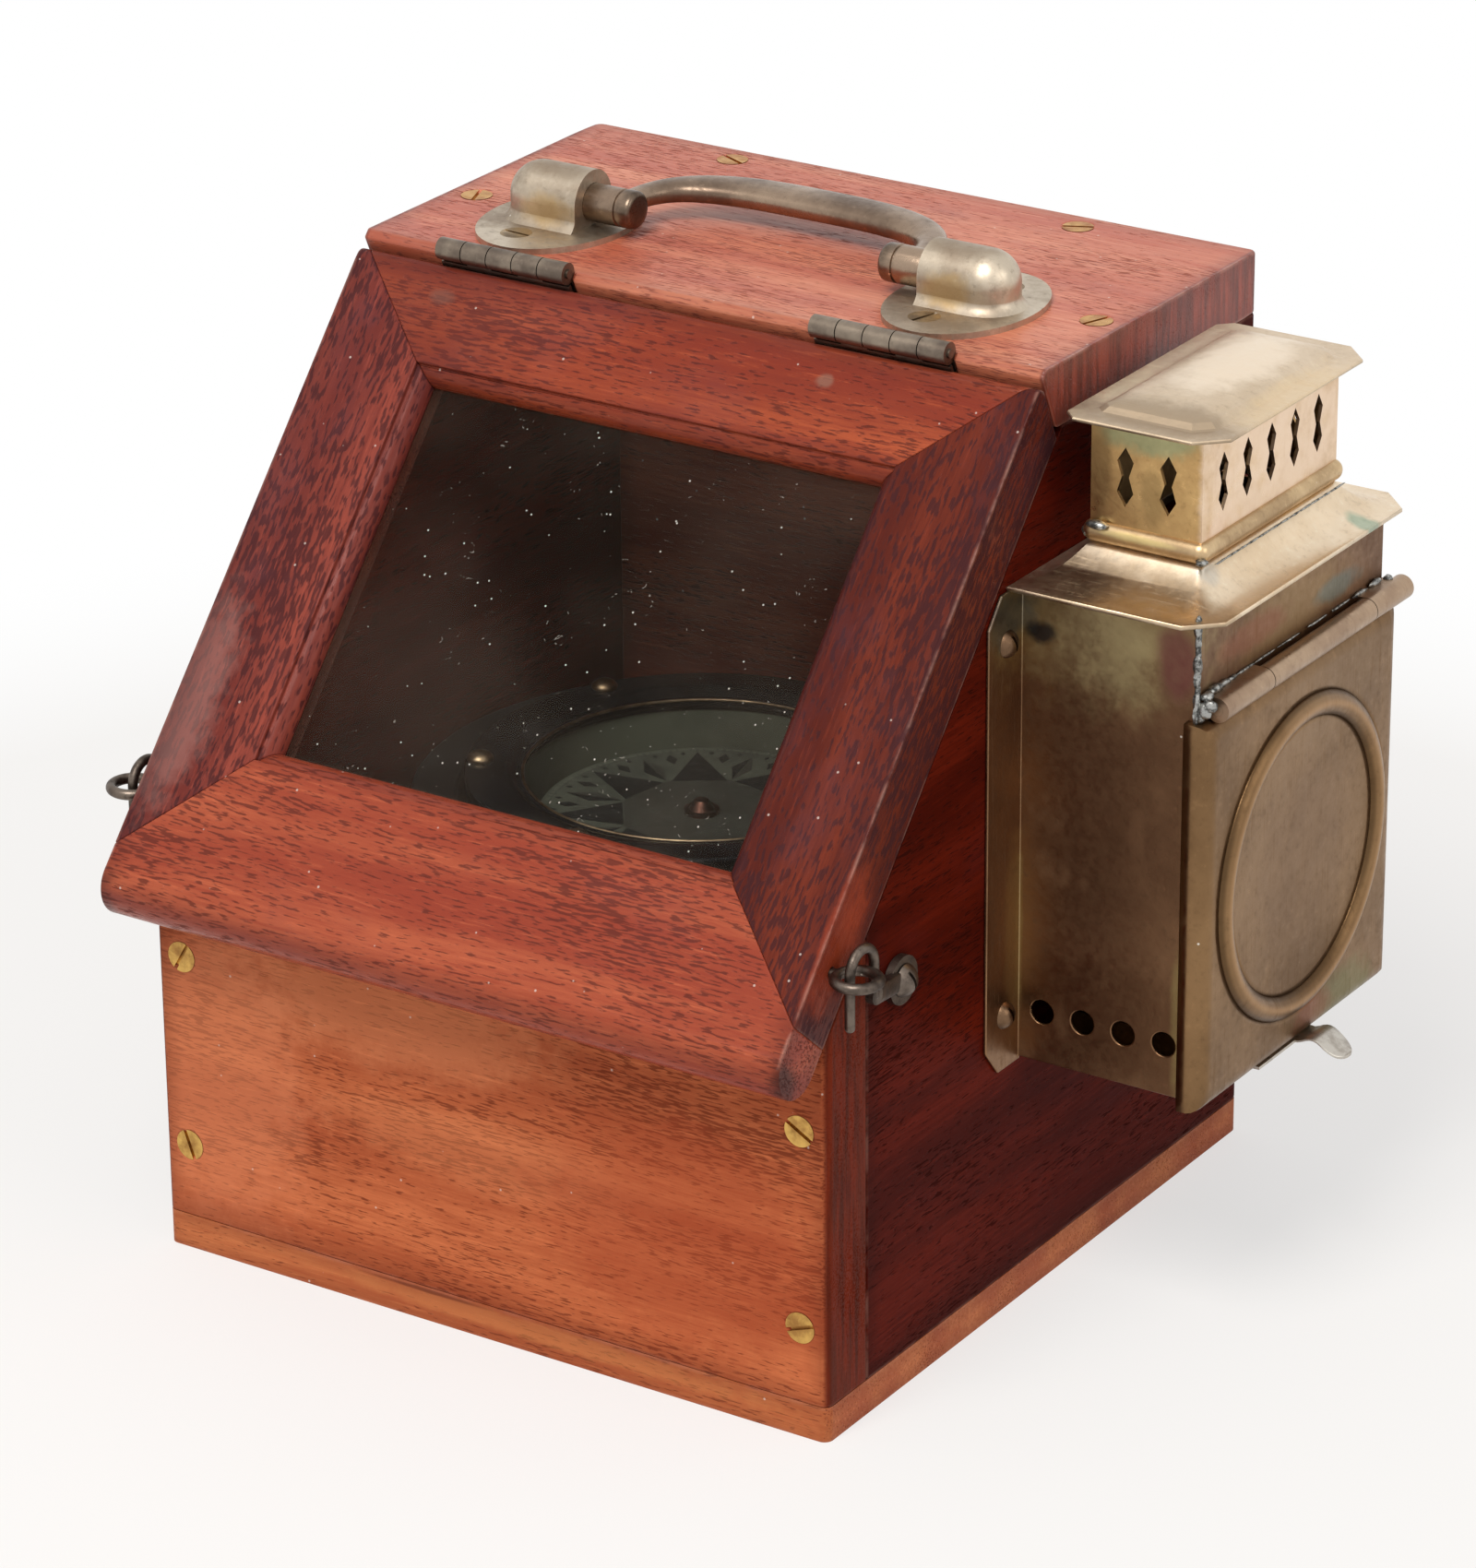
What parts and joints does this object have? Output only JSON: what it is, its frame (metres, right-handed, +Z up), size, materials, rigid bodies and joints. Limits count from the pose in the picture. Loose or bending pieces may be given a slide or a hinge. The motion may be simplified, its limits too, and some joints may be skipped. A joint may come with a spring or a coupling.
{
  "type": "boat compass",
  "caption": "Gimballed boat compass in a mahogany carrying case with a sloping glazed door, a brass handle and a brass oil lamp on its right side.",
  "frame": {"origin": "centre of the base board's underside", "axes": "+X right along the front board towards the lamp, +Y to the back, +Z up"},
  "size_m": [0.2839, 0.227, 0.2649],
  "materials": {
    "mahogany": "french polished, worn",
    "mahogany_pale": "french polished, faded",
    "brass_bright": "worn bright",
    "brass_aged": "aged, satin",
    "brass_yellow": "aged, satin",
    "brass_dark": "dark bronzed",
    "black_paint": "black lacquer",
    "glass": "clear",
    "card_paper": "printed",
    "steel": "heat tinted",
    "weight_metal": "dull",
    "wick_cotton": "woven"
  },
  "bodies": {
    "case": {"base_board": "mahogany_pale", "front_board": "mahogany_pale", "left_side_board": "mahogany", "right_side_board": "mahogany", "back_board": "mahogany", "top_board": "mahogany", "front_screws": "brass_bright", "top_screws": "brass_bright", "base_screws": "brass_bright", "case_hinge_leaves": "brass_dark", "door_hinge_pins": "brass_dark", "hook_screws": "brass_dark", "left_handle_plate": "brass_aged", "right_handle_plate": "brass_aged", "handle_screws": "brass_aged", "lamp_body": "brass_aged", "lamp_flange_screws": "brass_aged", "lamp_roof": "brass_aged", "chimney": "brass_yellow", "chimney_foot_bead": "brass_yellow", "chimney_cap": "brass_aged", "window_glass": "glass", "window_ring": "brass_aged", "lamp_hinge_ends": "brass_aged", "lamp_hinge_pin": "brass_aged", "oil_font": "brass_aged", "font_guides": "brass_aged", "burner": "brass_aged", "wick_tube": "brass_aged", "pivot_brackets": "black_paint", "bracket_screws": "brass_bright"},
    "door": {"door_top_rail": "mahogany", "door_bottom_rail": "mahogany_pale", "door_left_stile": "mahogany", "door_right_stile": "mahogany", "door_glass": "glass", "glazing_beads": "mahogany", "door_hinge_leaves": "brass_dark", "door_eyes": "brass_dark"},
    "left_hook": {"left_hook": "brass_dark"},
    "right_hook": {"right_hook": "brass_dark"},
    "handle": {"handle_bail": "brass_aged"},
    "lamp_door": {"lamp_door": "brass_aged", "lamp_door_knuckle": "brass_aged", "thumb_tab": "steel"},
    "gimbal": {"gimbal_ring": "black_paint", "gimbal_pins": "brass_bright"},
    "compass": {"compass_bowl": "black_paint", "compass_bezel": "black_paint", "compass_glass": "glass", "bezel_screws": "brass_bright", "bowl_pins": "brass_bright", "bowl_weight": "weight_metal", "card_pivot": "brass_bright", "lubber_line": "black_paint"},
    "card": {"compass_card": "card_paper", "card_magnets": "steel", "card_cap": "brass_bright"},
    "winder": {"wick_winder": "brass_bright"},
    "wick": {"wick": "wick_cotton"}
  },
  "joints": [
    {"name": "door_hinge", "type": "hinge", "parent": "case", "child": "door", "pos_m": [0, -0.00589, 0.24911], "axis": [-1, 0, 0], "range_deg": [0, 150]},
    {"name": "left_hook_turn", "type": "hinge", "parent": "case", "child": "left_hook", "pos_m": [-0.1028, -0.0715, 0.1138], "axis": [-1, 0, 0], "range_deg": [0, 120]},
    {"name": "right_hook_turn", "type": "hinge", "parent": "case", "child": "right_hook", "pos_m": [0.1028, -0.0715, 0.1138], "axis": [-1, 0, 0], "range_deg": [0, 120]},
    {"name": "handle_swing", "type": "hinge", "parent": "case", "child": "handle", "pos_m": [0, 0.027, 0.2564], "axis": [1, 0, 0], "range_deg": [0, 140]},
    {"name": "lamp_door_hinge", "type": "hinge", "parent": "case", "child": "lamp_door", "pos_m": [0.1555, 0.0358, 0.1748], "axis": [0, -1, 0], "range_deg": [0, 110]},
    {"name": "gimbal_tilt", "type": "hinge", "parent": "case", "child": "gimbal", "pos_m": [0, -0.003, 0.11], "axis": [0, 1, 0], "range_deg": [-20, 20]},
    {"name": "bowl_tilt", "type": "hinge", "parent": "gimbal", "child": "compass", "pos_m": [0, -0.003, 0.11], "axis": [1, 0, 0], "range_deg": [-20, 20]},
    {"name": "card_turn", "type": "hinge", "parent": "compass", "child": "card", "pos_m": [0, -0.003, 0.108], "axis": [0, 0, 1], "continuous": true},
    {"name": "wick_knob_turn", "type": "hinge", "parent": "case", "child": "winder", "pos_m": [0.125, 0.03605, 0.1067], "axis": [-1, 0, 0], "range_deg": [-80, 150]},
    {"name": "wick_lift", "type": "slide", "parent": "case", "child": "wick", "axis": [0, 0, 1], "range_m": [-0.005, 0.009]}
  ],
  "couplings": [
    {"joint": "wick_lift", "follows": "wick_knob_turn", "m_per_rad": 0.003}
  ]
}
